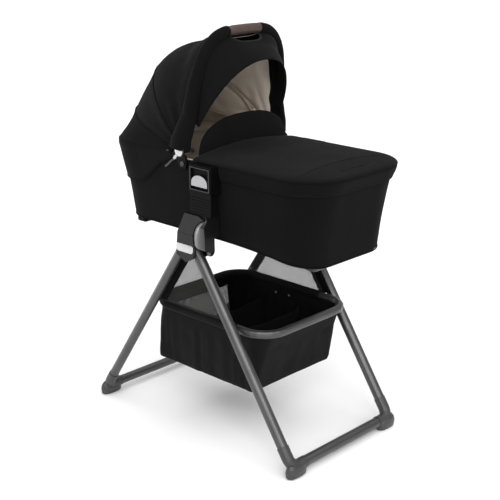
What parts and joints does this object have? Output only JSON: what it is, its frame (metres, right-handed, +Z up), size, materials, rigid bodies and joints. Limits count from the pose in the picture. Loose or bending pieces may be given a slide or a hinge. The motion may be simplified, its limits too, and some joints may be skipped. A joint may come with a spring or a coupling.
{
  "type": "bassinet with stand",
  "caption": "Fabric bassinet with folding hood, carry handle, apron and wind flap, lifting off a scissor-legged folding stand with a storage basket",
  "frame": {"origin": "on the floor under the middle of the object's outer box", "axes": "+X to the foot end of the bassinet, -Y the side seen in the picture's foreground, +Z up"},
  "size_m": [0.8403, 0.482, 1.1483],
  "materials": {
    "graphite_tube": "satin metallic graphite lacquer",
    "graphite_moulding": "fine satin graphite",
    "black_moulding": "fine grained",
    "bright_trim": "satin silver",
    "pin_steel": "plain",
    "black_fabric": "tight woven polyester",
    "charcoal_fabric": "melange woven polyester",
    "taupe_lining": "soft cotton jersey",
    "grey_mesh": "open knitted mesh",
    "brown_grip": "smooth leatherette",
    "base_board": "plain board",
    "mattress_cover": "quilted cotton"
  },
  "bodies": {
    "stand_hubs": {"hub_bracket_near": "graphite_moulding", "hub_bracket_far": "graphite_moulding", "hub_cover_near": "graphite_moulding", "hub_cover_far": "graphite_moulding", "hub_shoulder_near": "graphite_moulding", "hub_shoulder_far": "graphite_moulding", "mount_post_near": "black_moulding", "mount_post_far": "black_moulding", "mesh_side_near": "grey_mesh", "mesh_side_far": "grey_mesh"},
    "foot_frame": {"foot_leg_near": "graphite_tube", "foot_leg_far": "graphite_tube", "foot_floor_bar": "graphite_tube", "foot_corner_near": "graphite_moulding", "foot_corner_far": "graphite_moulding", "basket_rivet_near": "pin_steel", "basket_rivet_far": "pin_steel"},
    "head_frame": {"head_leg_near": "graphite_tube", "head_leg_far": "graphite_tube", "head_floor_bar": "graphite_tube", "head_corner_near": "graphite_moulding", "head_corner_far": "graphite_moulding"},
    "basket": {"basket_ring": "graphite_tube", "basket_bag": "black_fabric", "basket_hem_band": "black_fabric", "basket_divider_head": "black_fabric", "basket_divider_foot": "black_fabric"},
    "fold_latch_near": {"fold_release_near": "graphite_moulding", "hub_trim_plate_near": "bright_trim"},
    "fold_latch_far": {"fold_release_far": "graphite_moulding", "hub_trim_plate_far": "bright_trim"},
    "bassinet": {"tub_cover": "black_fabric", "rim_frame": "pin_steel", "base_board": "base_board", "tub_lining": "taupe_lining", "mattress": "mattress_cover", "base_skid_head": "black_moulding", "base_skid_foot": "black_moulding", "apron": "charcoal_fabric", "mount_housing_near": "black_moulding", "mount_housing_far": "black_moulding", "canopy_hub_near": "black_moulding", "canopy_hub_far": "black_moulding", "canopy_panel_rear": "charcoal_fabric"},
    "mount_button_near": {"release_button_near": "bright_trim"},
    "mount_button_far": {"release_button_far": "bright_trim"},
    "hood_button_near": {"canopy_button_near": "bright_trim"},
    "hood_button_far": {"canopy_button_far": "bright_trim"},
    "handle": {"carry_handle": "black_fabric", "handle_grip": "brown_grip", "visor": "charcoal_fabric", "canopy_panel_front": "charcoal_fabric"},
    "middle_bow": {"canopy_bow_mid": "pin_steel", "canopy_panel_mid": "charcoal_fabric"},
    "rear_bow": {"canopy_bow_rear": "pin_steel"},
    "flap": {"wind_flap": "charcoal_fabric"}
  },
  "joints": [
    {"name": "foot_frame_fold", "type": "hinge", "parent": "stand_hubs", "child": "foot_frame", "pos_m": [0.0063, 0, 0.5565], "axis": [0, 1, 0], "range_deg": [0, 30], "deforming": ["mesh_side_near", "mesh_side_far"]},
    {"name": "head_frame_fold", "type": "hinge", "parent": "stand_hubs", "child": "head_frame", "pos_m": [-0.0457, 0, 0.5565], "axis": [0, 1, 0], "range_deg": [-30, 0]},
    {"name": "basket_tilt", "type": "hinge", "parent": "foot_frame", "child": "basket", "pos_m": [0.14391, 0, 0.351], "axis": [0, 1, 0], "range_deg": [0, 13.5]},
    {"name": "fold_release_near_press", "type": "slide", "parent": "stand_hubs", "child": "fold_latch_near", "axis": [0, 1, 0], "range_m": [0, 0.0028], "stiffness_N_per_m": 900, "springref_m": -0.001},
    {"name": "fold_release_far_press", "type": "slide", "parent": "stand_hubs", "child": "fold_latch_far", "axis": [0, -1, 0], "range_m": [0, 0.0028], "stiffness_N_per_m": 900, "springref_m": -0.001},
    {"name": "bassinet_lift", "type": "slide", "parent": "stand_hubs", "child": "bassinet", "axis": [0, 0, 1], "range_m": [0, 0.12]},
    {"name": "mount_button_near_press", "type": "slide", "parent": "bassinet", "child": "mount_button_near", "axis": [0, 1, 0], "range_m": [0, 0.0025], "stiffness_N_per_m": 800, "springref_m": -0.001},
    {"name": "mount_button_far_press", "type": "slide", "parent": "bassinet", "child": "mount_button_far", "axis": [0, -1, 0], "range_m": [0, 0.0025], "stiffness_N_per_m": 800, "springref_m": -0.001},
    {"name": "hood_button_near_press", "type": "slide", "parent": "bassinet", "child": "hood_button_near", "axis": [0, 1, 0], "range_m": [0, 0.0022], "stiffness_N_per_m": 600, "springref_m": -0.001},
    {"name": "hood_button_far_press", "type": "slide", "parent": "bassinet", "child": "hood_button_far", "axis": [0, -1, 0], "range_m": [0, 0.0022], "stiffness_N_per_m": 600, "springref_m": -0.001},
    {"name": "handle_swing", "type": "hinge", "parent": "bassinet", "child": "handle", "pos_m": [-0.0665, 0, 0.8134], "axis": [0, 1, 0], "range_deg": [-70, 0], "deforming": ["canopy_panel_front", "canopy_panel_mid", "canopy_panel_rear"]},
    {"name": "middle_bow_swing", "type": "hinge", "parent": "bassinet", "child": "middle_bow", "pos_m": [-0.0665, 0, 0.8134], "axis": [0, 1, 0], "range_deg": [-24, 0]},
    {"name": "rear_bow_swing", "type": "hinge", "parent": "bassinet", "child": "rear_bow", "pos_m": [-0.0665, 0, 0.8134], "axis": [0, 1, 0], "range_deg": [-7.5, 0]},
    {"name": "flap_fold", "type": "hinge", "parent": "bassinet", "child": "flap", "pos_m": [-0.0182, 0, 0.819], "axis": [0, 1, 0], "range_deg": [0, 65]}
  ],
  "couplings": [
    {"joint": "head_frame_fold", "follows": "foot_frame_fold", "ratio": -1},
    {"joint": "basket_tilt", "follows": "foot_frame_fold", "ratio": 0.45},
    {"joint": "middle_bow_swing", "follows": "handle_swing", "ratio": 0.34286},
    {"joint": "rear_bow_swing", "follows": "handle_swing", "ratio": 0.10714}
  ]
}
